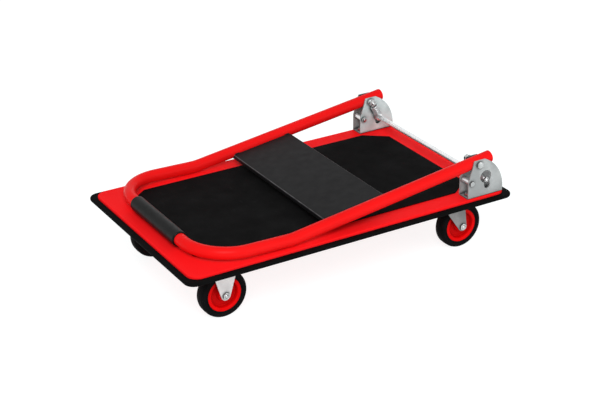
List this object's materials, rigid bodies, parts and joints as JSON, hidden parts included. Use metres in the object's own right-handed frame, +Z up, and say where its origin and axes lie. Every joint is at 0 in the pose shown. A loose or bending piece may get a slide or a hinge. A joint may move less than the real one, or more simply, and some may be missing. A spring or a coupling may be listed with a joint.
{
  "type": "folding platform trolley",
  "caption": "Platform trolley lying folded: pressed steel deck with rubber mat and edge bumper, hinged tube handle with sprung release bar, fixed and swivel casters.",
  "frame": {"origin": "on the floor, under the middle of the platform", "axes": "+Z up, +X to the hinge end, +Y across the deck to the picture's far side"},
  "size_m": [0.754, 0.46, 0.2285],
  "materials": {
    "red_paint": "gloss",
    "black_paint": "satin",
    "black_rubber": "matt",
    "tyre": "matt",
    "red_plastic": "gloss",
    "dark_plastic": "matt",
    "grip_plastic": "matt",
    "zinc_plate": "zinc plated",
    "bright_steel": "bright plated",
    "plated_fasteners": "zinc plated",
    "spring_wire": "zinc plated"
  },
  "bodies": {
    "platform": {"deck_pan": "red_paint", "deck_mat": "black_rubber", "edge_bumper": "black_rubber", "front_cross_member": "red_paint", "rear_cross_member": "red_paint", "long_stiffeners": "red_paint", "caster_bolts": "plated_fasteners", "caster_nuts": "plated_fasteners", "swivel_balls": "bright_steel", "bracket_bolts": "plated_fasteners", "bracket_nuts": "plated_fasteners", "pivot_bolts": "plated_fasteners", "pivot_sleeves": "bright_steel", "pivot_nuts": "plated_fasteners", "stop_bolts": "plated_fasteners", "stop_sleeves": "bright_steel", "stop_nuts": "plated_fasteners", "front_axle_bolts": "plated_fasteners", "front_axle_nuts": "plated_fasteners", "lock_springs": "spring_wire", "hinge_bracket_left": "zinc_plate", "front_fork_left": "zinc_plate", "swivel_plate_left": "zinc_plate", "kingpin_left": "zinc_plate", "hinge_bracket_right": "zinc_plate", "front_fork_right": "zinc_plate", "swivel_plate_right": "zinc_plate", "kingpin_right": "zinc_plate"},
    "handle": {"handle_tube": "red_paint", "tube_end_caps": "red_plastic", "pivot_bushes": "dark_plastic", "handle_grip": "grip_plastic", "handle_panel": "black_paint"},
    "lock_bar": {"release_bar": "bright_steel", "bar_spools": "bright_steel", "bar_end_nuts": "plated_fasteners"},
    "swivel_left": {"swivel_fork_left": "zinc_plate", "rear_axle_bolt_left": "plated_fasteners", "rear_axle_nut_left": "plated_fasteners"},
    "wheel_front_left": {"tyre_front_left": "tyre", "hub_front_left": "red_plastic", "wheel_bush_front_left": "dark_plastic"},
    "wheel_rear_left": {"tyre_rear_left": "tyre", "hub_rear_left": "red_plastic", "wheel_bush_rear_left": "dark_plastic"},
    "swivel_right": {"swivel_fork_right": "zinc_plate", "rear_axle_bolt_right": "plated_fasteners", "rear_axle_nut_right": "plated_fasteners"},
    "wheel_front_right": {"tyre_front_right": "tyre", "hub_front_right": "red_plastic", "wheel_bush_front_right": "dark_plastic"},
    "wheel_rear_right": {"tyre_rear_right": "tyre", "hub_rear_right": "red_plastic", "wheel_bush_rear_right": "dark_plastic"}
  },
  "joints": [
    {"name": "handle_fold", "type": "hinge", "parent": "platform", "child": "handle", "pos_m": [0.293, 0, 0.211], "axis": [0, 1, 0], "range_deg": [0, 97.9]},
    {"name": "lock_bar_press", "type": "slide", "parent": "platform", "child": "lock_bar", "axis": [-0.2079, 0, 0.9781], "range_m": [-0.0132, 0.008], "stiffness_N_per_m": 10000, "springref_m": 0.0003, "deforming": ["lock_springs"]},
    {"name": "front_wheel_spin_left", "type": "hinge", "parent": "platform", "child": "wheel_front_left", "pos_m": [-0.2675, -0.1485, 0.05], "axis": [0, 1, 0], "continuous": true},
    {"name": "rear_swivel_left", "type": "hinge", "parent": "platform", "child": "swivel_left", "pos_m": [0.268, -0.1485, 0.117], "axis": [0, 0, 1], "continuous": true},
    {"name": "rear_wheel_spin_left", "type": "hinge", "parent": "swivel_left", "child": "wheel_rear_left", "pos_m": [0.295, -0.1485, 0.05], "axis": [0, 1, 0], "continuous": true},
    {"name": "front_wheel_spin_right", "type": "hinge", "parent": "platform", "child": "wheel_front_right", "pos_m": [-0.2675, 0.1485, 0.05], "axis": [0, 1, 0], "continuous": true},
    {"name": "rear_swivel_right", "type": "hinge", "parent": "platform", "child": "swivel_right", "pos_m": [0.268, 0.1485, 0.117], "axis": [0, 0, 1], "continuous": true},
    {"name": "rear_wheel_spin_right", "type": "hinge", "parent": "swivel_right", "child": "wheel_rear_right", "pos_m": [0.295, 0.1485, 0.05], "axis": [0, 1, 0], "continuous": true}
  ]
}
